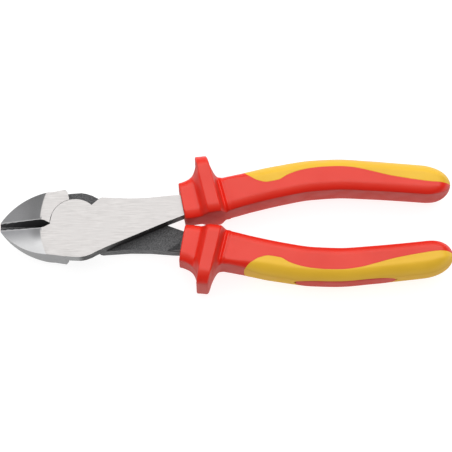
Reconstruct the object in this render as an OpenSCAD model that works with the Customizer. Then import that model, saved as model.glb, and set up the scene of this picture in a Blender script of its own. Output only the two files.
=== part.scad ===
// Insulated high-leverage diagonal cutting pliers.
// Millimetres. The origin is the point where the pivot axis meets the ground front face of the
// joint. +X runs along the handles, +Y towards the handle of the front lever, +Z out of the front.
// The modules draw everything about the joint's mid-plane, and place() moves it down.
// The back lever and its grip are the front ones turned half a turn about X.

/* [Joint] */
// Thickness of the joint and of the jaws at the joint
joint_t = 12; // [10:0.5:14]
// Radius of the round joint disc
disc_r = 11; // [10:0.5:11]
// Gap between the two lapped plates
lap_gap = 0.08; // [0.05:0.01:0.2]
// Gap between the joint disc and the hollow of the other jaw
disc_gap = 0.15; // [0.1:0.05:0.3]
// Radius of the pivot rivet's shank
rivet_r = 4; // [3:0.5:4.5]
// Radial running clearance of the rivet in the back lever
rivet_clear = 0.05; // [0.02:0.01:0.1]
// Radius of the rivet's flush head
rivet_head_r = 6.2; // [5.5:0.1:7]
// Thickness of the rivet's head
rivet_head_t = 2; // [1.5:0.5:2.5]
// Steel left in front of the blind bore in the front lever
rivet_skin = 1.4; // [1:0.1:2]

/* [Jaws] */
// Length from the pivot to the tip of the jaws
jaw_l = 33.2; // [32:0.1:34]
// Radius of the outer curve of a jaw
jaw_curve_r = 31.2; // [31:0.1:31.5]
// Half thickness of the jaws at the tip
tip_half_t = 1; // [0.8:0.1:1.5]
// Radius of the arc where the sloping facet starts
facet_r = 37.5; // [35:0.5:40]
// Distance from the pivot to the front of that arc
facet_x = 14.8; // [14:0.1:16]
// Gap between the closed cutting edges
edge_gap = 0.06; // [0.04:0.01:0.1]

/* [Handles] */
// Distance from the pivot to the front of the collars
collar_x = 47; // [46:0.5:48]
// Distance from the pivot to the ends of the handles
handle_x = 166.4; // [160:0.2:172]
// Half width of the hand guard on its outer side
guard_w = 19.1; // [14:0.1:21]
// Half thickness of a grip behind the guard
grip_h = 8.2; // [8:0.1:9]
// Half thickness of the tang inside a grip
tang_h = 3; // [2.5:0.5:4]
// Wall thickness of the insulating sleeve on the tang
sleeve_t = 1.2; // [0.8:0.1:1.5]
// Thickness of the soft zone
soft_t = 1.8; // [1.2:0.1:2.2]
// Thickness of the pad set into the soft zone
pad_t = 0.9; // [0.5:0.1:1.1]

/* [Hidden] */

half_t = joint_t / 2;
seam = 0.05;          // run-out of a step in a lofted skin, so that no face is degenerate
facet_slope = (half_t - tip_half_t) / (jaw_l - facet_x);
facet_cx = facet_r - facet_x;
groove_n = 6;         // steps along the groove between the cutting bevels
groove_w = [1.6, 1.9]; // its half width at the tip and where the facets start
groove_end = [-10.6, 3.6]; // where it runs out, inside the hollow for the disc, and its depth there
jaw_cx = -8;          // centre of a jaw's outer curve
jaw_cy = 16.6;
// Outline of a lever: the heel of its jaw, the edge of its plate and arm on the jaw's side, and
// the other edge of the arm with the shoulder that ends in the joint disc
jaw_front_x = -8;      // the facetted jaw gives way to the heel here
jaw_heel = [[-10, -14.45], [-4.2, -15.45], [-3.3, -14.3], [-2.4, -10.6]];
plate_root = [[0, 0], [-8, -8], [-4.6, -15.2]];
arm_lower = [[-2, -15.55], [2.5, -15.8], [4.8, -15.4], [7.3, -14.5], [9.5, -13.3], [14, -11.2],
             [40.5, -0.1]];
arm_end_y = [2.9, 12.3];
arm_upper = [[43, 12.1], [33, 11.15], [24, 10.95]];
shoulder = [[12, 11.6], [11, 11.35], [6.9, 7.8]];
// Ramp from the inner face of the arm down to the far face of the tang: its two corners level with
// the mid-plane, and its deep one
ramp = [[40.5, 11.6], [46.7, 7.5], [45.9, 12.2]];
ramp_top = 1;         // how far it reaches up into the arm
tang_root = [[45.9, 12], [46.6, 7.6], [46.9, 5.7]];
collar_tilt = 10;
arm_gap = 0.1;        // gap between the ground face of the arm and the collar

// Knots of the smooth curves along a handle: [station, value]
spine_y = [[47, 10.3], [60, 11], [68, 12.5], [78, 15], [91, 17.9], [104, 20], [117, 20.6],
           [130, 19.8], [144, 18.5], [157, 17.2], [168, 16.2]];
spine_tilt = [[47, 10], [56, 13], [66, 14], [78, 13], [91, 10.5], [104, 5], [117, 0],
              [130, -4], [144, -5.3], [168, -5.3]];
inner_w = [[47, 9.1], [50, 9], [54, 8.6], [60, 8.3], [63.8, 8.2], [66.5, 7.8], [69, 7.5], [73, 7.4],
           [78, 7.35], [91, 7.3], [117, 7.15], [130, 7], [144, 6.75], [168, 6.5]];
outer_w = [[47, 7.8], [52, 8.1], [66, 8], [70, 7.8], [75, 7.65], [78, 7.9], [85, 8.35], [91, 8.2],
           [117, 7.9], [130, 7.7], [152, 7.7], [168, 7.1]];
// Height above the grip's flat: the collar, the guard's rib, the valley and the thin ridge
relief = [[47, -0.8], [53.6, -0.75], [57.6, 3.6], [62.2, 3.6], [65, -0.9], [66.3, 0.15],
          [67.2, -0.5], [69.5, 0], [168, 0]];
// Edge of the soft zone on the flat of the grip, outwards from the spine
soft_edge = [[75, 7.4], [76.2, 6.8], [78.1, 5.1], [81.4, 2], [85.6, 0.3], [90, 0.2], [94.3, 1.7],
             [100.3, 2.7], [110, 3.3], [118, 3.2], [125, 2.7], [132, 1.5], [139, 0.3],
             [149, -0.6], [159, -1.1], [168, -1.1]];
// Reach of the edge between the flat and the walls, across the grip and in height
round_u = [[47, 3.8], [53, 3.8], [66, 3], [70, 2.2], [76, 3], [85, 4.8], [168, 4.8]];
round_z = [[47, 2.2], [72, 2.2], [85, 5], [168, 5.1]];
inner_round = [3.8, 2.2];
round_power = 1.5;    // the edges are superellipses, flatter in the middle than a quarter circle
guard_round = 0.21;   // growth of the outer edge's reach with the guard
soft_x = 76;          // station where the soft zone starts
pad_x = [98, 142];    // stations where the pocket for the pad runs out
pad_w = 3.4;          // half width of the pad
tang_end = 150;
// Half widths of the tang from the spine inwards and outwards, straight between these stations
tang_inner = [[47, 4.6], [60, 3.9], [tang_end, 2.8]];
tang_outer = [[47, 2.2], [60, 3.9], [tang_end, 2.8]];
sleeve_end = tang_end + 1.5;
end_flat = 0.15;      // share of the height left at the very end of a handle
end_round = 11;       // length of the rounded end of a handle, from above
outer_end_round = 13.5; // the same on its outer side
end_round_z = 7;      // and from the side
guard_x = [57.3, 62.9]; // stations of the guard's rim
fillet_x = 67;        // station where the fillet behind the guard runs out
tang_stations = [collar_x, 54, 61, 70, 80, 90, 100, 110, 120, 130, 140, tang_end];

// Steps along the top of a section: over the outer edge, the flat and the inner corner
outer_n = 7;
flat_n = 4;
corner_n = 4;
half_n = outer_n + flat_n + corner_n + 2;
// Stations of a grip's sections: even up to the guard, set by its shape over it, and even behind it
front_steps = [for (x = [collar_x + 1:1.3:guard_x[0] - 1.1]) x];
guard_steps = [56.6, 57, 57.3, 58, 62.3, 62.9, 63.1, 63.5, 64, 65, 65.7, 66.3, 66.8, 67.2, 68.3, 70, 72.5];
grip_steps = [for (x = [76.6:2:154]) x];
end_steps = [for (a = [8:11.5:77]) handle_x - end_round + end_round * sin(a)];
red_stations = concat([collar_x], front_steps, guard_steps, [soft_x - seam, soft_x], grip_steps, end_steps);
soft_stations = concat([soft_x], grip_steps, end_steps);
pad_stations = [for (x = grip_steps) if (x > pad_x[0] && x < pad_x[1]) x];

function interval(k, x, i = 0) = i >= len(k) - 2 || x < k[i + 1][0] ? i : interval(k, x, i + 1);
function secant(k, i) = (k[i + 1][1] - k[i][1]) / (k[i + 1][0] - k[i][0]);
// Slope at a knot: none at a local peak or valley, so that the curve never overshoots
function slope(k, i) =
    i == 0 ? secant(k, 0)
    : i == len(k) - 1 ? secant(k, i - 1)
    : secant(k, i - 1) * secant(k, i) <= 0 ? 0
    : 2 * secant(k, i - 1) * secant(k, i) / (secant(k, i - 1) + secant(k, i));
// Value at x of the smooth curve through the knots, level before the first knot
function curve(k, x) =
    let (i = interval(k, x), d = k[i + 1][0] - k[i][0], t = max(0, (x - k[i][0]) / d))
    k[i][1] * (2 * t * t * t - 3 * t * t + 1) + k[i + 1][1] * (3 * t * t - 2 * t * t * t)
    + d * slope(k, i) * (t * t * t - 2 * t * t + t) + d * slope(k, i + 1) * (t * t * t - t * t);

// Point of a handle at station x, u outwards from the spine and z from the mid-plane
function at(x, p) =
    let (a = curve(spine_tilt, x))
    [x - p[0] * sin(a), curve(spine_y, x) + p[0] * cos(a), p[1]];
// Share of the full section left at station x of an end rounded over this length
function rounding(x, length = end_round) =
    let (e = (x - handle_x + length) / length)
    e <= 0 ? 1 : sqrt(max(0, 1 - e * e));
// The guard stands out of the grip's side with a hollow fillet on both sides
function guard(x) =
    x < guard_x[0] ? fillet((x - collar_x) / (guard_x[0] - collar_x))
    : x < guard_x[1] ? 1
    : fillet((fillet_x - x) / (fillet_x - guard_x[1]));
function fillet(t) = t <= 0 ? 0 : 1 - sqrt(max(0, 1 - t * t));
function stand_out(x) = (guard_w - curve(outer_w, x)) * guard(x);
function outer(x) = (curve(outer_w, x) + stand_out(x)) * rounding(x, outer_end_round);
function inner(x) = curve(inner_w, x) * rounding(x);
function height(x) = (grip_h + curve(relief, x)) * (end_flat + (1 - end_flat) * rounding(x, end_round_z));
function edge_u(x) = min(outer(x) - (soft_t + 0.5) * rounding(x), curve(soft_edge, x) * rounding(x));
// Reach of the outer edge, pushed in by deep
function reach(x, deep) =
    [for (k = [round_u, round_z]) max(0.4, curve(k, x) + guard_round * stand_out(x) - deep) * rounding(x)];

// Height of the section's top at u: flat, then falling to the outer wall at b with this reach
function top_z(u, b, h, r) =
    u <= b - r[0] ? h
    : h - r[1] + r[1] * pow(max(0, 1 - pow((u - b + r[0]) / r[0], round_power)), 1 / round_power);
// Place of the outer wall at this height above the mid-plane
function wall_u(x, z) =
    let (r = reach(x, 0), t = max(0, (z - height(x) + r[1]) / r[1]))
    outer(x) - r[0] * (1 - pow(1 - pow(t, round_power), 1 / round_power));
// Top of the outer side, from the outer wall in to the edge of the soft zone
function outer_side(x, deep) =
    let (d = deep * rounding(x), b = outer(x) - d, h = height(x) - d, e = edge_u(x), r = reach(x, deep))
    [for (i = [0:outer_n]) let (u = e + (b - e) * cos(90 * i / outer_n)) [u, top_z(u, b, h, r)]];
// Top of the inner side, from the edge of the soft zone in to the inner wall
function inner_side(x) =
    let (b = outer(x), h = height(x), q = rounding(x), r = inner_round * q, s = reach(x, 0),
         start = edge_u(x) - seam, flat = -inner(x) + r[0], k = 2 / round_power)
    concat(
        [for (i = [0:flat_n - 1]) let (u = start + (flat - start) * i / flat_n) [u, top_z(u, b, h, s)]],
        [for (i = [0:corner_n]) let (a = 90 * i / corner_n)
            [flat - r[0] * pow(sin(a), k), h - r[1] + r[1] * pow(max(0, cos(a)), k)]]
    );

function mirrored(half) = [for (i = [len(half) - 1:-1:0]) [half[i][0], -half[i][1]]];
function ring(x, half) = [for (p = concat(half, mirrored(half))) at(x, p)];

// Tang and sleeve sections: plain rectangles that share the tang's stations. With more than two
// points a side, the walls bow out by a hair, so that no capping triangle is degenerate.
function box_half(x, t, n) =
    let (i = lookup(x, tang_inner) + t, o = lookup(x, tang_outer) + t, h = tang_h + t)
    n == 2 ? [[o, h], [-i, h]]
    : concat([[o + 2 * seam, h / 3], [o + seam, h * 2 / 3]],
             [for (k = [0:n - 5]) [o - (o + i) * k / (n - 5), h]],
             [[-i - seam, h * 2 / 3], [-i - 2 * seam, h / 3]]);

function grip_half(x) = concat(outer_side(x, x >= soft_x ? soft_t : 0), inner_side(x));
// The soft zone's skin, with the pocket for the pad on its outer wall
function pad_half(x) =
    let (t = (2 * x - pad_x[0] - pad_x[1]) / (pad_x[1] - pad_x[0]))
    abs(t) >= 1 ? 0.6 : max(0.6, pad_w * pow(1 - pow(abs(t), 8), 0.5));
function pocket(x) = x > pad_x[0] && x < pad_x[1] ? pad_t : 0;
function soft_half(x) =
    let (q = rounding(x), w = pad_half(x) * q, skin = outer_side(x, 0), z = max(w + seam * q, skin[0][1]))
    concat([[wall_u(x, w) - pocket(x), w - seam * q], [wall_u(x, w), w], [wall_u(x, z), z]],
           [for (i = [1:outer_n]) skin[i]]);
function soft_ring(x) =
    let (deep = outer_side(x, soft_t), q = rounding(x), b = outer(x) - soft_t * q,
         w = 0.8 * pad_half(x) * q, skin = soft_half(x),
         back = concat([[b, w - seam * q], [b, w]], deep),
         out = concat(mirrored(skin), skin), under = concat(mirrored(back), back))
    [for (p = concat(out, [for (i = [len(under) - 1:-1:0]) under[i]])) at(x, p)];

// Closed solid through rings of n points each, capped by strips between points k and n - 1 - k
module loft(rings) {
    n = len(rings[0]);
    last = (len(rings) - 1) * n;
    sides = [for (i = [0:len(rings) - 2]) for (k = [0:n - 1])
        let (a = i * n + k, b = i * n + (k + 1) % n) each [[a, b + n, b], [a, a + n, b + n]]];
    caps = [for (k = [0:n / 2 - 2])
        each [[k, n - 2 - k, n - 1 - k], [k, k + 1, n - 2 - k],
              [last + k, last + n - 1 - k, last + n - 2 - k], [last + k, last + n - 2 - k, last + k + 1]]];
    polyhedron(points = [for (r = rings) each r], faces = concat(sides, caps), convexity = 8);
}

// Puts a shape drawn about the joint's mid-plane in the pliers' frame
module place(turned = false) {
    translate([0, 0, -half_t]) rotate([turned ? 180 : 0, 0, 0]) children();
}

// Groove between the two cutting bevels on one face, down to the mid-plane. It widens slightly
// along the sloping facet and runs out in a point at the joint disc.
module groove() {
    top = half_t + 1;
    rings = [for (i = [0:groove_n])
        let (x = -jaw_l - 1 + (jaw_l + 1 - facet_x) * i / groove_n,
             surface = max(tip_half_t, half_t + (x + facet_x) * facet_slope),
             w = (groove_w[0] + (groove_w[1] - groove_w[0]) * i / groove_n) * top / surface)
        [[x, -w, top], [x, w, top], [x, 0, 0]]];
    last = groove_n * 3;
    sides = [for (i = [0:groove_n - 1]) for (k = [0:2])
        let (a = i * 3 + k, b = i * 3 + (k + 1) % 3) each [[a, b, b + 3], [a, b + 3, a + 3]]];
    end = [for (z = [top, groove_end[1]]) [groove_end[0], 0, z]];
    polyhedron(
        points = concat([for (r = rings) each r], end),
        faces = concat([[0, 2, 1]], sides,
                       [[last, last + 1, last + 3], [last, last + 3, last + 4], [last, last + 4, last + 2],
                        [last + 1, last + 2, last + 4], [last + 1, last + 4, last + 3]]));
}

module jaw() {
    difference() {
        union() {
            intersection() {
                translate([jaw_cx, jaw_cy, -half_t]) cylinder(h = joint_t, r = jaw_curve_r, $fn = 180);
                translate([-jaw_l, -disc_r * 2, -half_t])
                    cube([jaw_l + jaw_front_x, disc_r * 2 - edge_gap / 2, joint_t]);
                intersection_for (side = [0, 1]) mirror([0, 0, side]) facet_side();
            }
            translate([0, 0, -half_t]) linear_extrude(joint_t)
                polygon(concat([[jaw_heel[0][0], -edge_gap / 2]], jaw_heel, [[0, -edge_gap / 2]]));
        }
        for (side = [0, 1]) mirror([0, 0, side]) groove();
        translate([0, 0, -half_t - 1])
            cylinder(h = half_t + 1 + lap_gap / 2, r = disc_r + disc_gap, $fn = 120);
    }
}

// Everything below the cone of the front facet
module facet_side() {
    apex = half_t + facet_r * facet_slope;
    low = half_t + 1;
    translate([facet_cx, 0, -low])
        cylinder(h = apex + low, r1 = (apex + low) / facet_slope, r2 = 0, $fn = 180);
}

module plate() {
    arm_end = [for (y = arm_end_y) [collar_x - arm_gap - (y - spine_y[0][1]) * tan(collar_tilt), y]];
    translate([0, 0, lap_gap / 2]) {
        cylinder(h = half_t - lap_gap / 2, r = disc_r, $fn = 120);
        linear_extrude(half_t - lap_gap / 2)
            polygon(concat(plate_root, arm_lower, arm_end, arm_upper, shoulder));
    }
}

module tang() {
    inner_pts = [for (x = tang_stations) at(x, [-lookup(x, tang_inner), 0])];
    outer_pts = [for (i = [len(tang_stations) - 1:-1:0])
        let (x = tang_stations[i]) at(x, [lookup(x, tang_outer), 0])];
    flat = [for (p = concat(inner_pts, outer_pts)) [p[0], p[1]]];
    translate([0, 0, -tang_h]) linear_extrude(2 * tang_h) polygon(concat(tang_root, flat));
}

// Triangular ramp between the arm's inner face and the tang
module arm_ramp() {
    low = [0, 0, -tang_h];
    polyhedron(
        points = [for (z = [ramp_top * [1, 1, 1], low])
            each [for (i = [0:2]) [ramp[i][0], ramp[i][1], z[i]]]],
        faces = [[0, 2, 1], [3, 4, 5],
                 [0, 4, 3], [0, 1, 4], [1, 5, 4], [1, 2, 5], [2, 3, 5], [2, 0, 3]]);
}

module lever() {
    jaw();
    plate();
    tang();
    arm_ramp();
}

module front_lever() color("gainsboro") place() difference() {
    lever();
    translate([0, 0, -1]) cylinder(h = 1 + half_t - rivet_skin, r = rivet_r, $fn = 72);
}

module back_lever() color("dimgray") place() difference() {
    rotate([180, 0, 0]) lever();
    translate([0, 0, -half_t - 1]) cylinder(h = joint_t, r = rivet_r + rivet_clear, $fn = 72);
    translate([0, 0, -half_t - 1])
        cylinder(h = rivet_head_t + 1 + lap_gap / 2, r = rivet_head_r + rivet_clear, $fn = 96);
}

module pivot_rivet() color("silver") place() {
    translate([0, 0, -half_t]) cylinder(h = joint_t - rivet_skin, r = rivet_r, $fn = 72);
    translate([0, 0, -half_t]) cylinder(h = rivet_head_t, r = rivet_head_r, $fn = 96);
}

module sleeve() {
    outside = concat(tang_stations, [sleeve_end]);
    loft(concat(
        [for (i = [len(tang_stations) - 1:-1:0]) ring(tang_stations[i], box_half(tang_stations[i], 0, 2))],
        [for (x = outside) ring(x, box_half(x, sleeve_t, 2))]));
}

module grip() {
    cavity = concat([sleeve_end], [for (i = [len(tang_stations) - 1:-1:0]) tang_stations[i]]);
    loft(concat(
        [for (x = cavity) ring(x, box_half(x, sleeve_t, half_n))],
        [for (x = red_stations) ring(x, grip_half(x))]));
}

module soft_zone() {
    loft([for (x = soft_stations) soft_ring(x)]);
}

module pad() {
    loft([for (x = pad_stations)
        let (w = pad_half(x) - seam, u = wall_u(x, w), v = wall_u(x, pad_half(x)) - pad_t)
        [for (p = [[u, w], [v, w], [v, -w], [u, -w]]) at(x, p)]]);
}

module upper_sleeve() color("orange") place() sleeve();
module upper_grip() color("red") place() grip();
module upper_soft_zone() color("gold") place() soft_zone();
module upper_pad() color("firebrick") place() pad();
module lower_sleeve() color("orange") place(true) sleeve();
module lower_grip() color("red") place(true) grip();
module lower_soft_zone() color("gold") place(true) soft_zone();
module lower_pad() color("firebrick") place(true) pad();

front_lever();
back_lever();
pivot_rivet();
upper_sleeve();
upper_grip();
upper_soft_zone();
upper_pad();
lower_sleeve();
lower_grip();
lower_soft_zone();
lower_pad();
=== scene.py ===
"""Insulated diagonal cutting pliers: finished grips, materials, light and camera round the frame.

Everything is in metres in the frame's own axes: +X along the handles, +Y towards the upper handle,
+Z out of the ground front face. The grip shapes are worked out in millimetres and scaled once.
The lower grip is the upper one turned half a turn about the joint's own X axis.
"""
import math

import bmesh
import bpy
import numpy as np
from mathutils import Matrix, Vector


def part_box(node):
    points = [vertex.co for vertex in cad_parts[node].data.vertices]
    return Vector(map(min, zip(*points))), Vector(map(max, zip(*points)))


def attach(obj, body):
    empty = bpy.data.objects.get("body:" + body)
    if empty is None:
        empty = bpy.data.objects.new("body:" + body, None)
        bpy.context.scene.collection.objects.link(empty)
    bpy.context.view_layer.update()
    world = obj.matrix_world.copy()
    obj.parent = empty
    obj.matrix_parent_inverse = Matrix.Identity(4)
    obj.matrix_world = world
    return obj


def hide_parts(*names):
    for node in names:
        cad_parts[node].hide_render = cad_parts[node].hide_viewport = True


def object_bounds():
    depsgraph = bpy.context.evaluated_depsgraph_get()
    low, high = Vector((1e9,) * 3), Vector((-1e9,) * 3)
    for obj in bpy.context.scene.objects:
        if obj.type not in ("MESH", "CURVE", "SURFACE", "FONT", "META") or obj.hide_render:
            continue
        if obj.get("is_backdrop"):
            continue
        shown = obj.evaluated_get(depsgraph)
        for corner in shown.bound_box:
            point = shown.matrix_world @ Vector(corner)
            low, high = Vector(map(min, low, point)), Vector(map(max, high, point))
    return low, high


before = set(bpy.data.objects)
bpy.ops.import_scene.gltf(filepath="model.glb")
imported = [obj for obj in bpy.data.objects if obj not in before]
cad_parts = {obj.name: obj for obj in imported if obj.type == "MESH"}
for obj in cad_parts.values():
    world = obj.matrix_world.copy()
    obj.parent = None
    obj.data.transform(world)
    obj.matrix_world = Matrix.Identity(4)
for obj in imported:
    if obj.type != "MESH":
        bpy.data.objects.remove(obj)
cad_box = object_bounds()

MM = 0.001

# ---------------------------------------------------------------- driving dimensions, millimetres

MID_Z = (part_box("front_lever")[0].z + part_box("front_lever")[1].z) / 2 / MM
COLLAR_X = 47.0        # station of the collar's front edge
RIM_X = 0.7            # length over which the collar's front edge is rounded
RIM_IN = 0.5           # and how far the section is drawn in there
HANDLE_X = 166.4       # station of the handle's end
END_ROUND = 11.0       # length of the rounded end in plan, on the inner side
END_ROUND_OUT = 13.5   # and on the outer side
END_ROUND_Z = 7.0      # length of the rounded end from the side
GUARD_W = 19.05        # half width of the guard on its outer side
GUARD_FRONT, GUARD_BACK = 57.3, 62.9  # stations where the guard's rim begins and ends
GUARD_EDGE = 0.9       # radius of the guard's rim
FILLET_X = 67.0        # station where the fillet behind the guard runs out
GRIP_H = 8.2           # half thickness of a grip behind the guard
INNER_ROUND = (3.8, 2.2)  # reach of the inner edge's round along u and z
ROUND_POWER = 1.5      # the edges are superellipses, flatter in the middle than a quarter circle
GUARD_ROUND = 0.21     # growth of the outer edge's reach with the guard
SOFT_T = 1.75          # thickness of the soft zone
SOFT_X = 75.9          # station where the soft zone starts
SOFT_START = 3.0       # length of its rounded start
SOFT_SQUARE = 3        # power of that round: 2 is an ellipse, more is squarer
PAD_T = 0.8            # depth of the pad's pocket
PAD_X = (97.2, 140.2)  # stations of the pad's ends
PAD_W = 4.3            # half width of the pad
PAD_SQUARE = 6         # power of its outline: 2 is an ellipse, more is squarer
PAD_GAP = 0.04         # gap round the pad in its window
PAD_UNDER = 0.02       # and below it
PAD_LEAST = 0.05       # the pad ends where its half width is less than this
PAD_RIM = 0.3          # width of the pad's rounded rim
PAD_SINK = 0.1         # depth of the rim's foot below the soft zone
PAD_CROWN = 0.15       # height of the pad's top above that foot
LIP = 0.22             # width of the softened edge between two plastics
LIP_DROP = 0.12        # and its depth
SEAM = 0.01            # gap between the soft zone and the body under it
HOLLOW_X = 60.0        # station where the hollow for the tang's sleeve ends
HOLLOW_H = 4.25        # its half height
SLEEVE_T = 1.25        # thickness of the sleeve on the tang's inner and outer sides
END_CUT = 0.06         # the last ring stands this far short of the handle's end

CLOSEST = 0.015        # rings closer together than this are left out
WALL_STEPS, ROUND_STEPS, FLAT_STEPS = 8, 24, 16  # points along each part of a half section
CORE_POINTS, SKIN_POINTS = 26, 64                # points under the soft zone and beside it
SOFT_UNDER = 32                                  # points on the soft zone's inner side

# Knots of the smooth curves along a handle: (station, value)
# Distance of the handle's middle line from the X axis, and its slope in degrees
SPINE_Y = ((47, 10.3), (60, 11), (68, 12.5), (78, 15), (91, 17.9), (104, 20), (117, 20.6),
           (130, 19.8), (144, 18.5), (157, 17.2), (168, 16.2))
SPINE_TILT = ((47, 10), (56, 13), (66, 14), (78, 13), (91, 10.5), (104, 5), (117, 0),
              (130, -4), (144, -5.3), (168, -5.3))
# Half widths from that line to the inner and to the outer wall, without the guard
INNER_W = ((47, 9.1), (50, 9), (54, 8.6), (60, 8.3), (63.8, 8.2), (66.5, 7.8), (69, 7.5), (73, 7.4),
           (78, 7.35), (91, 7.3), (117, 7.15), (130, 7), (144, 6.75), (168, 6.5))
OUTER_W = ((47, 7.8), (52, 8.1), (66, 8), (70, 7.8), (75, 7.65), (78, 7.9), (85, 8.35), (91, 8.2),
           (117, 7.9), (130, 7.7), (152, 7.7), (168, 7.1))
# Height of the rib, ridge and valleys above or below the plain grip
RELIEF = ((47, -0.8), (53.6, -0.75), (57.6, 3.6), (62.2, 3.6), (65, -0.9), (66.3, 0.05),
          (67.3, -0.3), (69.5, 0), (168, 0))
# Reach of the outer edge's round along u and z
ROUND_U = ((47, 3.8), (53, 3.8), (66, 3), (70, 2.2), (76, 3), (85, 4.8), (168, 4.8))
ROUND_Z = ((47, 2.2), (72, 2.2), (85, 5), (168, 5.1))
# Half widths of the steel tang in the hollow
TANG_IN = ((47, 4.6), (60, 3.9))
TANG_OUT = ((47, 2.2), (60, 3.9))
# Distance of the soft zone's edge from the middle line, outwards
SOFT_EDGE = ((75, 7.4), (76.2, 6.8), (78.1, 5.1), (81.4, 2), (85.6, 0.3), (90, 0.2), (94.3, 1.7),
             (100.3, 2.7), (110, 3.3), (118, 3.2), (125, 2.7), (132, 1.5), (139, 0.3),
             (149, -0.6), (159, -1.1), (168, -1.1))


def curve(knots, x):
    """Value at x of the smooth curve through the knots, flat at each peak and valley."""
    ks = np.array(knots, float)
    secants = np.diff(ks[:, 1]) / np.diff(ks[:, 0])
    slopes = np.empty(len(ks))
    slopes[0], slopes[-1] = secants[0], secants[-1]
    for i in range(1, len(ks) - 1):
        a, b = secants[i - 1], secants[i]
        slopes[i] = 0 if a * b <= 0 else 2 * a * b / (a + b)
    i = int(np.clip(np.searchsorted(ks[:, 0], x, side="right") - 1, 0, len(ks) - 2))
    d = ks[i + 1, 0] - ks[i, 0]
    t = max(0.0, (x - ks[i, 0]) / d)
    return (ks[i, 1] * (2 * t**3 - 3 * t**2 + 1) + ks[i + 1, 1] * (3 * t**2 - 2 * t**3)
            + d * slopes[i] * (t**3 - 2 * t**2 + t) + d * slopes[i + 1] * (t**3 - t**2))


def quarter(t):
    """Height of a quarter circle: 1 at t = 0 and 0 at t = 1."""
    return math.sqrt(max(0.0, 1 - min(1.0, max(0.0, t)) ** 2))


def end_share(x, length):
    """Share of the full section left at station x of a rounded end of this length."""
    return quarter((x - HANDLE_X + length) / length)


def outer_width(x):
    """Half width of the grip on its outer side, with the guard and its hollow fillets."""
    base = curve(OUTER_W, x)
    low, high = GUARD_W - GUARD_EDGE - base, GUARD_EDGE
    if x < GUARD_FRONT:
        return base + low * (1 - quarter((x - COLLAR_X) / (GUARD_FRONT - COLLAR_X)))
    if x <= GUARD_BACK:
        return base + low + high * quarter(1 - min(x - GUARD_FRONT, GUARD_BACK - x) / GUARD_EDGE)
    return base + low * (1 - quarter((FILLET_X - x) / (FILLET_X - GUARD_BACK)))


def section(x):
    """Upper half of the section at station x: points and outward normals in (u, z), dense, from
    the middle of the outer wall round the top to the middle of the inner wall."""
    qu, qz = end_share(x, END_ROUND), end_share(x, END_ROUND_Z)
    back = RIM_IN * (1 - quarter(1 - min(1.0, (x - COLLAR_X) / RIM_X)))
    wide = outer_width(x)
    grown = GUARD_ROUND * (wide - curve(OUTER_W, x))
    b, a = wide * end_share(x, END_ROUND_OUT) - back, curve(INNER_W, x) * qu - back
    h = (GRIP_H + curve(RELIEF, x)) * qz - back
    outer = (curve(ROUND_U, x) + grown) * qu, (curve(ROUND_Z, x) + grown) * qz
    inner = INNER_ROUND[0] * qu, INNER_ROUND[1] * qz
    points, normals = [], []

    def add(u, z, nu, nz):
        length = math.hypot(nu, nz)
        points.append((u, z))
        normals.append((nu / length, nz / length))

    def corner(wall, reach, angle):
        """Point on the rounded edge at this angle up from the wall, which is at u = wall."""
        c, s = max(0.0, math.cos(angle)), max(0.0, math.sin(angle))
        e = 2 / ROUND_POWER
        way = math.copysign(1, wall)
        add(wall - way * reach[0] * (1 - c**e), h - reach[1] * (1 - s**e),
            way * c ** (2 - e) / reach[0], s ** (2 - e) / reach[1])

    for i in range(WALL_STEPS + 1):
        add(b, (h - outer[1]) * i / WALL_STEPS, 1, 0)
    for i in range(1, ROUND_STEPS + 1):
        corner(b, outer, math.pi / 2 * i / ROUND_STEPS)
    for i in range(1, FLAT_STEPS + 1):
        add(b - outer[0] + (inner[0] - a - b + outer[0]) * i / FLAT_STEPS, h, 0, 1)
    for i in range(1, ROUND_STEPS + 1):
        corner(-a, inner, math.pi / 2 * (1 - i / ROUND_STEPS))
    for i in range(1, WALL_STEPS + 1):
        add(-a, (h - inner[1]) * (1 - i / WALL_STEPS), -1, 0)
    return np.array(points), np.array(normals)


def lengths_along(points):
    """Distance of each point from the first one, along the line through them."""
    return np.concatenate([[0], np.cumsum(np.hypot(*np.diff(points, axis=0).T))])


def sample(x, spans, depth=0.0):
    """Points of the half section at these distances along it, pushed in by depth."""
    points, normals = section(x)
    along = lengths_along(points)
    spans = np.clip(spans, 0, along[-1])
    p = np.stack([np.interp(spans, along, points[:, k]) for k in (0, 1)], 1)
    n = np.stack([np.interp(spans, along, normals[:, k]) for k in (0, 1)], 1)
    n /= np.linalg.norm(n, axis=1)[:, None]
    return p - n * np.broadcast_to(np.asarray(depth, float), (len(spans),))[:, None]


def soft_span(x):
    """Distance from the middle of the outer wall to the edge of the soft zone."""
    points, _ = section(x)
    along = lengths_along(points)
    edge = curve(SOFT_EDGE, x) * end_share(x, END_ROUND)
    top = points[:, 1] > 0.3 * points[:, 1].max()  # clear of both walls, so that u runs one way
    reach = float(np.interp(-edge, -points[top, 0], along[top]))
    start = (SOFT_X + SOFT_START - x) / SOFT_START
    return reach * (1 - min(1.0, max(0.0, start)) ** SOFT_SQUARE) ** (1 / SOFT_SQUARE)


def pad_span(x):
    """Half width of the pad's window at station x."""
    t = abs(2 * x - PAD_X[0] - PAD_X[1]) / (PAD_X[1] - PAD_X[0])
    return 0.0 if t >= 1 else PAD_W * (1 - t**PAD_SQUARE) ** 0.5


def place(x, uz):
    """Points of the section (u, z) at station x, in metres in the upper handle's frame."""
    a = math.radians(curve(SPINE_TILT, x))
    u, z = uz[:, 0], uz[:, 1]
    out = np.stack([x - u * math.sin(a), curve(SPINE_Y, x) + u * math.cos(a), z + MID_Z], 1)
    return out * MM


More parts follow.
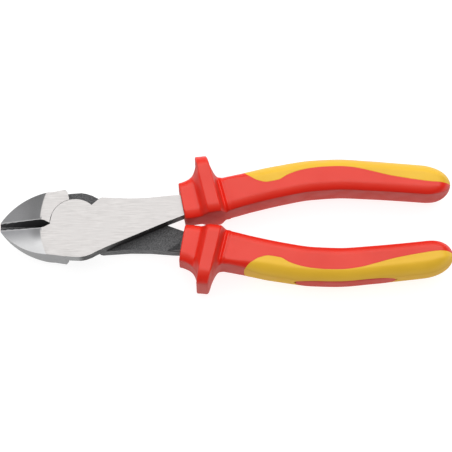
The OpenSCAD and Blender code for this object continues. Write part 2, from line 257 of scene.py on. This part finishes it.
def stations(first=COLLAR_X):
    """Stations of the rings: close where the outline turns, up to 1.2 mm apart elsewhere."""

    def turn(share):
        return 1 - math.cos(math.pi / 2 * share)

    def ease(share):
        return math.sin(math.pi / 2 * share)

    # The collar and its rise to the guard, the guard's rim and top, and the fillet behind it
    every = [COLLAR_X + RIM_X * turn(i / 5) for i in range(6)]
    every += [COLLAR_X + (GUARD_FRONT - COLLAR_X) * ease(i / 30) for i in range(3, 31)]
    every += [GUARD_FRONT + GUARD_EDGE * turn(i / 6) for i in range(1, 7)]
    every += [GUARD_FRONT + GUARD_EDGE + 0.35 * i for i in range(1, 7)]
    every += [GUARD_BACK - GUARD_EDGE * turn(i / 6) for i in range(7)]
    every += [FILLET_X - (FILLET_X - GUARD_BACK) * ease(i / 20) for i in range(20)]
    # The grip up to the soft zone, the soft zone's start, the long plain part and the end
    every += [FILLET_X + 0.2 + 0.4 * i for i in range(22)]
    every += [SOFT_X + SOFT_START * (i / 14) ** 2 for i in range(15)]
    every += [SOFT_X + SOFT_START + 1.0 * i for i in range(1, 84)]
    every += [HANDLE_X - END_ROUND_OUT * (1 - ease(i / 18)) for i in range(1, 18)]
    every += [HANDLE_X - 3 * END_CUT, HANDLE_X - END_CUT]
    every.sort()
    kept = [every[0]]
    for x in every[1:]:
        if x - kept[-1] > CLOSEST:
            kept.append(x)
    return [x for x in kept if x >= first]


# ---------------------------------------------------------------- meshes

MERGE = 2e-6      # metres; points of a collapsed ring closer than this become one
TOO_SHORT = 1e-6  # metres; shorter edges are taken out
SHARP_DEG = 35    # edges that turn by more than this stay sharp


def mirrored(half):
    """Lower half of a section, as the upper half's points back from the inner wall."""
    return half[::-1] * np.array((1, -1))


def loft(name, rings):
    """Closed mesh through rings of equal count, doubles merged, smooth between sharp edges."""
    bm = bmesh.new()
    rows = [[bm.verts.new(p) for p in ring] for ring in rings]
    n = len(rows[0])
    for r, s in zip(rows, rows[1:]):
        for k in range(n):
            m = (k + 1) % n
            bm.faces.new((r[k], r[m], s[m], s[k]))
    for row in (rows[0], rows[-1]):
        for k in range(n // 2 - 1):
            bm.faces.new((row[k], row[k + 1], row[n - 2 - k], row[n - 1 - k]))
    bmesh.ops.remove_doubles(bm, verts=bm.verts, dist=MERGE)
    bmesh.ops.dissolve_degenerate(bm, edges=bm.edges, dist=TOO_SHORT)
    bmesh.ops.recalc_face_normals(bm, faces=bm.faces)
    mesh = bpy.data.meshes.new(name)
    bm.to_mesh(mesh)
    bm.free()
    for p in mesh.polygons:
        p.use_smooth = True
    mesh.set_sharp_from_angle(angle=math.radians(SHARP_DEG))
    obj = bpy.data.objects.new(name, mesh)
    bpy.context.scene.collection.objects.link(obj)
    return obj


def grip_ring(x):
    """Section of the red body: full size, or cut back under the soft zone."""
    points, _ = section(x)
    whole = lengths_along(points)[-1]
    split = soft_span(x) if x > SOFT_X else 0.0
    core = sample(x, np.linspace(0, split, CORE_POINTS), SOFT_T * end_share(x, END_ROUND))
    skin = sample(x, np.linspace(split, whole, SKIN_POINTS))
    return np.concatenate([core if split else skin[:1].repeat(CORE_POINTS, 0), skin])


def cavity_ring(x, count):
    """Plain rectangular hollow for the sleeve, with as many points as a grip ring."""
    low, high = -curve(TANG_IN, x) - SLEEVE_T, curve(TANG_OUT, x) + SLEEVE_T
    side = 6
    top = count - 2 * side
    half = [(high, HOLLOW_H * (i + 0.5) / side) for i in range(side)]
    half += [(high + (low - high) * i / (top - 1), HOLLOW_H) for i in range(top)]
    half += [(low, HOLLOW_H * (side - i - 0.5) / side) for i in range(side)]
    return np.array(half)


def make_grip(name):
    """Red body: the sleeve's hollow, then the outer skin from the collar to the rounded end."""
    count = CORE_POINTS + SKIN_POINTS
    halves = [(x, cavity_ring(x, count)) for x in (HOLLOW_X, COLLAR_X + RIM_X / 2)]
    halves += [(x, grip_ring(x)) for x in stations()]
    return loft(name, [place(x, np.concatenate([half, mirrored(half)])) for x, half in halves])


def make_soft_zone(name):
    """Yellow skin let into the outer side of the body, with the pad's pocket."""
    rings = []
    for x in stations(SOFT_X + SEAM):
        q = end_share(x, END_ROUND)
        split, window = soft_span(x), pad_span(x)
        pocket = PAD_T if window > 0 else 0.0
        window = min(max(window, 0.02), 0.9 * split)  # never quite shut, so that rings match
        floor = sample(x, np.linspace(0, window, 6), pocket)
        spans = window + (split - window) * (1 - (1 - np.linspace(0, 1, 26)) ** 1.4)
        lip = np.clip(1 - (split - spans) / LIP, 0, 1) ** 2 * LIP_DROP * q
        skin = sample(x, spans, lip)
        under = sample(x, np.linspace(split, 0, SOFT_UNDER), (SOFT_T - SEAM) * q)
        outer = np.concatenate([floor, skin])
        rings.append(place(x, np.concatenate([mirrored(outer), outer, under, mirrored(under)])))
    # One more ring, a little further out, closes the skin over the end of the body's core
    border = skin[-1]
    chord = np.stack([np.full(SOFT_UNDER, border[0]), np.linspace(border[1], 0, SOFT_UNDER)], 1)
    ring = np.concatenate([mirrored(outer), outer, chord, mirrored(chord)])
    rings.append(place(x, ring) + np.array((END_CUT / 2, 0, 0)) * MM)
    return loft(name, rings)


def make_pad(name):
    """Slightly crowned inlay that fills the pocket."""
    rings = []
    for x in stations(PAD_X[0]):
        window = pad_span(x)
        if x > PAD_X[1] or window < PAD_LEAST:
            continue
        window -= PAD_GAP
        spans = np.linspace(0, window, 14)
        crown = np.clip((window - spans) / PAD_RIM, 0, 1) ** 0.5 * PAD_CROWN - PAD_SINK
        top = sample(x, spans, -crown)
        bottom = sample(x, spans[::-1], PAD_T - PAD_UNDER)
        rings.append(place(x, np.concatenate([mirrored(top), top, bottom, mirrored(bottom)])))
    return loft(name, rings)


def turned(obj, name):
    """Copy for the lower handle: half a turn about the joint's X axis."""
    copy = obj.copy()
    copy.data = obj.data.copy()
    copy.name = copy.data.name = name
    centre = Vector((0, 0, MID_Z * MM))
    half_turn = Matrix.Rotation(math.pi, 4, "X")
    spin = Matrix.Translation(centre) @ half_turn @ Matrix.Translation(-centre)
    copy.data.transform(spin)
    bpy.context.scene.collection.objects.link(copy)
    return copy


# ---------------------------------------------------------------- materials

class Nodes:
    """Short way to build a material's node tree."""

    def __init__(self, name):
        self.material = bpy.data.materials.new(name)
        self.material.use_nodes = True
        self.tree = self.material.node_tree
        self.shader = self.tree.nodes["Principled BSDF"]
        self.coords = self.tree.nodes.new("ShaderNodeTexCoord")

    def add(self, kind, **values):
        node = self.tree.nodes.new("ShaderNode" + kind)
        for key, value in values.items():
            setattr(node, key, value)
        return node

    def link(self, out, into):
        self.tree.links.new(out, into)

    def fill(self, socket, value):
        """Sets the socket to a number or colour, or links another node's output to it."""
        if isinstance(value, tuple):
            socket.default_value = (*value, 1)
        elif isinstance(value, (int, float)):
            socket.default_value = value
        else:
            self.link(value, socket)

    def math(self, operation, *values):
        node = self.add("Math", operation=operation)
        for socket, value in zip(node.inputs, values):
            self.fill(socket, value)
        return node.outputs[0]

    def mix(self, factor, a, b):
        """Colour a where the factor is 0 and b where it is 1."""
        node = self.add("Mix", data_type="RGBA")
        for socket, value in zip((0, 6, 7), (factor, a, b)):
            self.fill(node.inputs[socket], value)
        return node.outputs[2]

    def blend(self, factor, a, b):
        """Number a where the factor is 0 and b where it is 1."""
        node = self.add("Mix", data_type="FLOAT")
        for socket, value in zip((0, 2, 3), (factor, a, b)):
            self.fill(node.inputs[socket], value)
        return node.outputs[0]

    def split(self, source):
        """X, Y and Z of one of the texture coordinates."""
        node = self.add("SeparateXYZ")
        self.link(self.coords.outputs[source], node.inputs[0])
        return node.outputs

    def noise(self, scale, detail=3, stretch=(1, 1, 1), rough=0.5):
        """Noise over the object; a larger stretch makes it finer along that axis."""
        mapping = self.add("Mapping")
        mapping.inputs["Scale"].default_value = stretch
        self.link(self.coords.outputs["Object"], mapping.inputs["Vector"])
        node = self.add("TexNoise")
        node.inputs["Scale"].default_value = scale
        node.inputs["Detail"].default_value = detail
        node.inputs["Roughness"].default_value = rough
        self.link(mapping.outputs[0], node.inputs["Vector"])
        return node.outputs["Fac"]

    def step(self, value, low, high):
        """0 below low and 1 above high, smooth between, either way round."""
        node = self.add("MapRange", interpolation_type="SMOOTHSTEP")
        node.inputs["From Min"].default_value = low
        node.inputs["From Max"].default_value = high
        self.link(value, node.inputs["Value"])
        return node.outputs[0]

    def bump(self, height, distance, strength):
        node = self.add("Bump")
        node.inputs["Distance"].default_value = distance
        node.inputs["Strength"].default_value = strength
        self.link(height, node.inputs["Height"])
        self.link(node.outputs[0], self.shader.inputs["Normal"])


# "Up" is the share of a face's normal along Z. Each pair runs from none to full.
PLASTIC_WALL_SHADE_UP = (0.62, 0.18)  # side walls, whose colour is darkened as painted shade
PLASTIC_EDGE_LIGHT_UP = (0.98, 0.80)  # rounded edges, where painted light gives a richer colour
WALL_MATT = 0.3                 # added roughness of the side walls


def plastic(name, colour, deep, side, roughness, grain, specular=0.38, painted_edge_light=None):
    """Moulded plastic: slight colour drift, uneven gloss, a richer colour on the rounded edges that
    is painted light, and spark-eroded matt side walls whose colour is darkened as painted shade."""
    n = Nodes(name)
    up = n.math("ABSOLUTE", n.split("Normal")[2])
    wall = n.step(up, *PLASTIC_WALL_SHADE_UP)
    drift = n.noise(35, 3)
    top = n.mix(n.step(drift, 0.3, 0.7), deep, colour)
    # Painted light: a richer, more saturated colour on the rounded edges, where the tops' sheen is
    # missing.
    if painted_edge_light:
        top = n.mix(n.step(up, *PLASTIC_EDGE_LIGHT_UP), top, painted_edge_light)
    # Painted shade: the side walls take the darker side colour.
    n.link(n.mix(wall, top, side), n.shader.inputs["Base Color"])
    patch = n.noise(160, 4)
    gloss = n.blend(n.step(patch, 0.35, 0.65), roughness - 0.05, roughness + 0.06)
    n.link(n.math("ADD", gloss, n.math("MULTIPLY", wall, WALL_MATT)), n.shader.inputs["Roughness"])
    n.shader.inputs["Specular IOR Level"].default_value = specular
    n.bump(n.noise(3600, 2), grain, 0.6)
    return n.material


# Where a lever is ground, in millimetres of its own axes, again from none to full. "Out" is the
# distance from the X axis.
FACE_DEEP = (0.25, 0.1)      # depth under the joint's outer faces
FACET_X = (-11.0, -11.5)     # facets of the jaw
GROOVE_X = (-10.9, -11.2)    # groove of the cutting bevels
GROOVE_OUT = (2.15, 2.30)    # the groove's border, at x = 0
GROOVE_TAPER = -0.0163       # change of that border with x
HIGHLIGHT_LAND_OUT = (2.55, 2.38)      # painted highlight: a narrow bright band beside the groove
JAW_X = (-3.0, -3.4)         # side walls of the jaw
HEEL_X, HEEL_OUT = (4.0, 1.0), (14.9, 15.3)  # and of its heel
DIP_AT, DIP_R = (-16.2, 3.0), (5.5, 0.5)     # painted shade: dark patch beside the groove's end, where the grind hollows
FLAT_UP, FACET_UP = (0.966, 0.985), (0.8, 0.92)
# The second pair picks out the oxide's side walls, which are painted darker as shade.
WALL_UP, OXIDE_WALL_SHADE_UP = (0.5, 0.3), (0.6, 0.3)
GROOVE_SIDE = (0.4, 0.6)     # share of the normal along Y in the groove


def lever_steel(name, facet_reflection_ends, run, dip_shade, edge):
    """Forged and black-oxided steel whose joint faces, facets and jaw walls are ground bright."""
    n = Nodes(name)

    def ramp(value, pair):
        return n.step(value, pair[0] * MM, pair[1] * MM)

    def both(a, b):
        return n.math("MULTIPLY", a, b)

    def distance_squared(value, centre):
        return n.math("POWER", n.math("SUBTRACT", value, centre * MM), 2)

    x, y, z = n.split("Object")
    _, across, facing = n.split("Normal")
    up = n.math("ABSOLUTE", facing)
    out = n.math("ABSOLUTE", y)
    from_mid = n.math("ABSOLUTE", n.math("SUBTRACT", z, MID_Z * MM))
    outermost = ramp(from_mid, [-MID_Z - depth for depth in FACE_DEEP])
    flat = both(n.step(up, *FLAT_UP), outermost)
    facet = both(ramp(x, FACET_X), n.step(up, *FACET_UP))
    from_groove = n.math("ADD", out, n.math("MULTIPLY", x, GROOVE_TAPER))
    away = ramp(from_groove, GROOVE_OUT)
    jaw_part = both(ramp(x, JAW_X), away)
    heel_part = both(ramp(x, HEEL_X), ramp(out, HEEL_OUT))
    wall = both(n.math("MAXIMUM", jaw_part, heel_part), n.step(up, *WALL_UP))
    walls = n.step(n.math("ABSOLUTE", across), *GROOVE_SIDE)
    groove_shade = both(ramp(x, GROOVE_X), both(n.math("SUBTRACT", 1, away), walls))

    brushed = n.noise(420, 4, (1.0, 14.0, 14.0), 0.6)
    dressed = n.noise(130, 4, (1.0, 12.0, 12.0), 0.6)
    mottle = n.noise(95, 4, rough=0.6)
    forged = n.noise(1500, 4, rough=0.65)
    pits = n.noise(520, 3)

    oxide = n.mix(n.step(forged, 0.35, 0.7), (0.040, 0.040, 0.042), (0.115, 0.115, 0.118))
    # Painted shade: the oxide's side walls take the darker edge colour, darker on the front lever
    # than on the back.
    oxide = n.mix(n.step(up, *OXIDE_WALL_SHADE_UP), oxide, edge)
    ground = n.mix(n.step(dressed, 0.3, 0.7), (0.455, 0.437, 0.428), (0.590, 0.569, 0.558))
    ground = n.mix(n.step(mottle, 0.25, 0.8), ground, (0.530, 0.511, 0.502))
    jaw_wall = n.mix(n.step(brushed, 0.3, 0.7), (0.25, 0.25, 0.253), (0.34, 0.34, 0.343))

    # Each facet's colour is painted reflection, running from one colour to the other along its run,
    # with
    # brushed streaks on top: the weights of x and out, and the two ends. A painted dark patch of
    # shade near the groove's end and a painted highlight beside the groove change it again.
    along = ramp(n.math("ADD", n.math("MULTIPLY", x, run[0]), n.math("MULTIPLY", out, run[1])),
                 run[2:])
    streak = n.math("MULTIPLY", n.math("SUBTRACT", brushed, 0.5), 0.5)
    facet_grain_and_painted_light = n.mix(n.math("ADD", along, streak), *facet_reflection_ends)
    from_dip = n.math("ADD", distance_squared(x, DIP_AT[0]), distance_squared(out, DIP_AT[1]))
    # Painted shade: a darker patch on the facet beside the groove's end.
    facet_grain_and_painted_light = n.mix(ramp(n.math("POWER", from_dip, 0.5), DIP_R), facet_grain_and_painted_light, dip_shade)
    # Painted highlight: a light grey band along the groove's border.
    facet_grain_and_painted_light = n.mix(both(away, ramp(from_groove, HIGHLIGHT_LAND_OUT)), facet_grain_and_painted_light, (0.45, 0.45, 0.45))

    colour = n.mix(wall, oxide, jaw_wall)
    colour = n.mix(facet, colour, facet_grain_and_painted_light)
    colour = n.mix(flat, colour, ground)
    # Painted shade: the groove's side walls are coloured near black.
    colour = n.mix(groove_shade, colour, (0.075, 0.075, 0.079))
    n.link(colour, n.shader.inputs["Base Color"])

    bright = n.math("MAXIMUM", n.math("MAXIMUM", flat, facet), wall)
    n.link(n.blend(bright, 0.3, 0.72), n.shader.inputs["Metallic"])
    rough = n.blend(n.step(brushed, 0.3, 0.7), 0.40, 0.52)
    rough = n.blend(bright, n.blend(n.step(pits, 0.3, 0.7), 0.42, 0.56), rough)
    n.link(rough, n.shader.inputs["Roughness"])
    n.bump(n.blend(bright, forged, n.math("MULTIPLY", brushed, 0.12)), 0.12 * MM, 0.7)
    return n.material


def turned_steel(name):
    """Rivet: ground head with rings left by turning."""
    n = Nodes(name)
    wave = n.add("TexWave", wave_type="RINGS", rings_direction="Z")
    wave.inputs["Scale"].default_value = 900
    wave.inputs["Distortion"].default_value = 0.4
    n.link(n.coords.outputs["Object"], wave.inputs["Vector"])
    shade = n.mix(wave.outputs["Fac"], (0.50, 0.50, 0.49), (0.62, 0.61, 0.60))
    n.link(shade, n.shader.inputs["Base Color"])
    n.link(n.blend(n.noise(300, 3), 0.28, 0.42), n.shader.inputs["Roughness"])
    n.shader.inputs["Metallic"].default_value = 1
    n.bump(wave.outputs["Fac"], 0.01 * MM, 0.5)
    return n.material


def floor_material():
    """Lit seamless white sheet under the tool."""
    n = Nodes("floor")
    shade = n.mix(n.noise(6, 3), (0.24, 0.24, 0.24), (0.26, 0.26, 0.26))
    n.link(shade, n.shader.inputs["Base Color"])
    n.shader.inputs["Roughness"].default_value = 0.7
    n.shader.inputs["Emission Color"].default_value = (1, 1, 1, 1)
    n.shader.inputs["Emission Strength"].default_value = FLOOR_GLOW
    return n.material


def wear(obj, material):
    """Gives the object this material alone."""
    obj.data.materials.clear()
    obj.data.materials.append(material)


# ---------------------------------------------------------------- the object

EDGE_SOFTNESS = 0.14  # millimetres, bevel on the levers' edges
EDGE_DEG = 28         # edges that turn by more than this get it
WELD_GAP = 0.002      # millimetres, points closer than this count as one for the bevel


def soften(obj):
    """Rounds a CAD node's sharp edges without touching its mesh."""
    weld = obj.modifiers.new("weld", "WELD")
    weld.merge_threshold = WELD_GAP * MM
    bevel = obj.modifiers.new("bevel", "BEVEL")
    bevel.width = EDGE_SOFTNESS * MM
    bevel.segments = 2
    bevel.limit_method = "ANGLE"
    bevel.angle_limit = math.radians(EDGE_DEG)
    bevel.use_clamp_overlap = True
    normals = obj.modifiers.new("normals", "WEIGHTED_NORMAL")
    normals.keep_sharp = False


def build():
    """Finished grips in place of the CAD ones, and a material on every piece."""
    # The fourth colour of each plastic is painted shade on its side walls, and the red's last
    # colour is painted light on its rounded edges.
    red = plastic("red_plastic", (0.87, 0.050, 0.028), (0.81, 0.042, 0.023),
                  (0.61, 0.052, 0.034), 0.33, 0.012 * MM, painted_edge_light=(0.87, 0.022, 0.008))
    yellow = plastic("yellow_elastomer", (0.95, 0.565, 0.038), (0.89, 0.52, 0.033),
                     (0.84, 0.48, 0.038), 0.46, 0.02 * MM, 0.35)
    pad_red = plastic("pad_plastic", (0.72, 0.062, 0.036), (0.67, 0.055, 0.032),
                      (0.68, 0.058, 0.036), 0.38, 0.02 * MM)
    signal = plastic("sleeve_plastic", (0.80, 0.30, 0.03), (0.74, 0.26, 0.03),
                     (0.70, 0.25, 0.03), 0.5, 0.01 * MM)

    for part, obj, material, slot in (
            ("grip", make_grip("upper_grip_body"), red, "red_plastic"),
            ("soft_zone", make_soft_zone("upper_soft_skin"), yellow, "yellow_elastomer"),
            ("pad", make_pad("upper_pad_inlay"), pad_red, "pad_plastic")):
        wear(obj, material)
        other = turned(obj, obj.name.replace("upper", "lower"))
        for piece, side, body in ((obj, "upper", "front_half"), (other, "lower", "back_half")):
            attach(piece, body)
            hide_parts(f"{side}_{part}")

    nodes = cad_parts
    wear(nodes["upper_sleeve"], signal)
    wear(nodes["lower_sleeve"], signal)
    # Each lever's facet colours are painted reflection, and its dip and edge colours are painted
    # shade on the dark patch and on the oxide's walls.
    wear(nodes["front_lever"], lever_steel(
        "front_steel", ((0.27, 0.27, 0.28), (0.60, 0.60, 0.605)), run=(0, 1, 2, 11),
        dip_shade=(0.19, 0.19, 0.195), edge=(0.02, 0.02, 0.021)))
    wear(nodes["back_lever"], lever_steel(
        "back_steel", ((0.22, 0.22, 0.225), (0.13, 0.13, 0.132)), run=(1, 0.5, -27, -8),
        dip_shade=(0.15, 0.15, 0.153), edge=(0.05, 0.05, 0.052)))
    wear(nodes["pivot_rivet"], turned_steel("rivet_steel"))
    soften(nodes["front_lever"])
    soften(nodes["back_lever"])


# ---------------------------------------------------------------- stage, light and camera

VIEW_ELEVATION = 72.0     # degrees above the bench
VIEW_ROLL = 0.87          # degrees that the handles sit higher in the picture
VIEW_Y = -0.0006          # metres, aim of the camera beside the joint's axis
CAMERA_DISTANCE = 1.10    # metres
PICTURE_WIDTH = 0.2000    # metres of the object plane across the picture
SENSOR = 36               # millimetres
FLOOR_GLOW = 0.87         # light that the floor sends out by itself
SKY = 0.20                # strength of the even light from all round
PANEL_AT, PANEL_AIM = (0.067, 1.05, 1.30), (0.067, 1.04, 0)
PANEL_SIZE = (3.0, 2.6)   # metres
PANEL_RADIANCE = 1.75


def stage():
    """Floor just under the tool."""
    floor_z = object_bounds()[0].z - 0.2 * MM
    bpy.ops.mesh.primitive_plane_add(size=6, location=(0.07, 0, floor_z))
    floor = bpy.context.object
    floor.name = "floor"
    wear(floor, floor_material())
    floor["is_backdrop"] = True


def lights():
    """Even white surroundings and one large soft box, as bright from any distance."""
    scene = bpy.context.scene
    scene.world = bpy.data.worlds.new("studio")
    scene.world.use_nodes = True
    background = scene.world.node_tree.nodes["Background"]
    background.inputs["Color"].default_value = (1, 1, 1, 1)
    background.inputs["Strength"].default_value = SKY
    data = bpy.data.lights.new("overhead", "AREA")
    data.shape = "RECTANGLE"
    data.size, data.size_y = PANEL_SIZE
    data.energy = PANEL_RADIANCE * math.pi * PANEL_SIZE[0] * PANEL_SIZE[1]
    obj = bpy.data.objects.new("overhead", data)
    obj.location = PANEL_AT
    aim = Vector(PANEL_AIM) - Vector(PANEL_AT)
    obj.rotation_euler = aim.to_track_quat("-Z", "Y").to_euler()
    scene.collection.objects.link(obj)


def camera():
    """Long lens from the side of the lower handle, high above the bench."""
    data = bpy.data.cameras.new("camera")
    obj = bpy.data.objects.new("camera", data)
    bpy.context.scene.collection.objects.link(obj)
    bpy.context.scene.camera = obj
    lo, hi = cad_box
    target = Vector(((lo.x + hi.x) / 2, VIEW_Y, MID_Z * MM))
    e = math.radians(VIEW_ELEVATION)
    back = Vector((0, -math.cos(e), math.sin(e)))
    obj.location = target + back * CAMERA_DISTANCE
    look = (-back).to_track_quat("-Z", "Y")
    roll = Matrix.Rotation(math.radians(-VIEW_ROLL), 4, "Z").to_quaternion()
    obj.rotation_mode = "QUATERNION"
    obj.rotation_quaternion = look @ roll
    data.sensor_width = SENSOR
    data.lens = SENSOR * CAMERA_DISTANCE / PICTURE_WIDTH
    data.clip_start, data.clip_end = 0.05, 20


bpy.context.scene.view_settings.view_transform = "Standard"
build()
camera()
stage()
lights()
